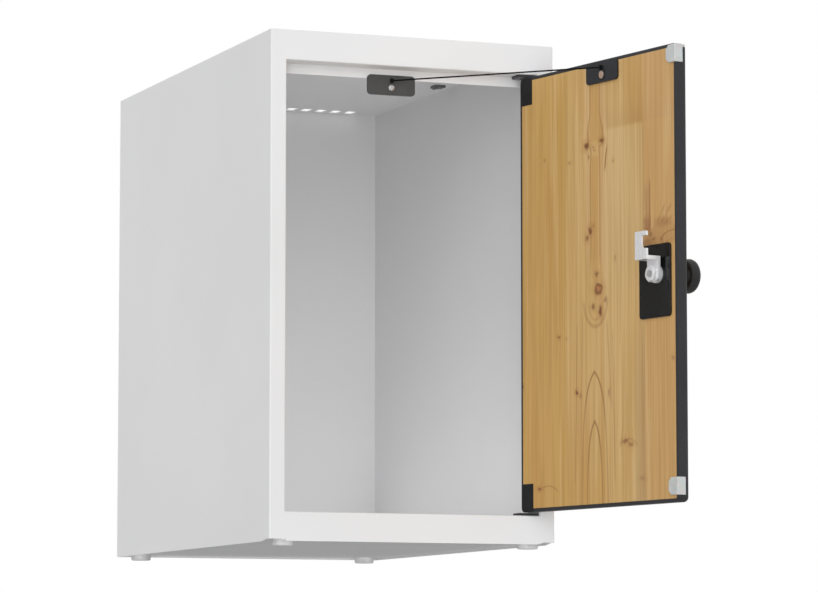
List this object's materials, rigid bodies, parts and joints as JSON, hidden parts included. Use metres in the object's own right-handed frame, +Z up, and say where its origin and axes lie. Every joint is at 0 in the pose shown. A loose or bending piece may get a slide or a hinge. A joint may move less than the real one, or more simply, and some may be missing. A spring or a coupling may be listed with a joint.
{
  "type": "locker",
  "caption": "Cube locker: steel cabinet on low feet, wood-decor door hinged on the right and held open by a cord, turning knob with a cranked hook cam, vent slots in the roof.",
  "frame": {"origin": "centre of the front left foot's underside, on the floor: the body's front left corner is 21 mm to its left and 20 mm in front of it", "axes": "+X to the right across the front, +Y from the front towards the back, +Z up; the door faces -Y when it is shut"},
  "size_m": [0.3531, 0.7507, 0.504],
  "materials": {
    "housing": "satin powder coat",
    "feet": "matte",
    "black_plastic": "matte",
    "hinge_plates": "satin black",
    "steel": "zinc plated",
    "cord": "braided",
    "door_core": "dark solid core, matte",
    "door_decor": "matte pine decor",
    "buffers": "translucent",
    "backplate": "gloss black",
    "bright_metal": "bright zinc",
    "knob": "semi-gloss black",
    "knob_cap": "brushed"
  },
  "bodies": {
    "cabinet": {"left_side_panel": "housing", "right_side_panel": "housing", "back_panel": "housing", "roof_panel": "housing", "base_panel": "housing", "top_rail": "housing", "bottom_rail": "housing", "front_left_foot": "feet", "front_right_foot": "feet", "rear_left_foot": "feet", "rear_right_foot": "feet", "ceiling_hook": "black_plastic", "lower_hinge_plate": "hinge_plates", "upper_hinge_plate": "hinge_plates", "lower_hinge_pin": "steel", "upper_hinge_pin": "steel", "hinge_plate_screws": "steel", "restraint_holder": "black_plastic", "holder_screw": "steel", "holder_cord_anchor": "black_plastic", "restraint_cord": "cord"},
    "door": {"door_core": "door_core", "inner_decor": "door_decor", "outer_decor": "door_decor", "lower_hinge_block": "black_plastic", "upper_hinge_block": "black_plastic", "hinge_block_screws": "steel", "upper_buffer": "buffers", "lower_buffer": "buffers", "door_restraint_plate": "black_plastic", "restraint_rivet": "steel", "door_cord_anchor": "black_plastic", "lock_backplate": "backplate", "lock_barrel": "bright_metal", "barrel_nut": "steel"},
    "lock": {"lock_knob": "knob", "knob_cap": "knob_cap", "knob_screw": "steel", "lock_spindle": "steel", "lock_cam": "bright_metal", "cam_washer": "steel", "cam_nut": "steel"}
  },
  "joints": [
    {"name": "door_swing", "type": "hinge", "parent": "cabinet", "child": "door", "pos_m": [0.2555, -0.0143, 0.254], "axis": [0, 0, 1], "range_deg": [-100.8, 0], "deforming": ["restraint_cord"]},
    {"name": "lock_turn", "type": "hinge", "parent": "door", "child": "lock", "pos_m": [0.3041, -0.23867, 0.252], "axis": [0.9823, 0.1874, 0], "range_deg": [0, 90]}
  ]
}
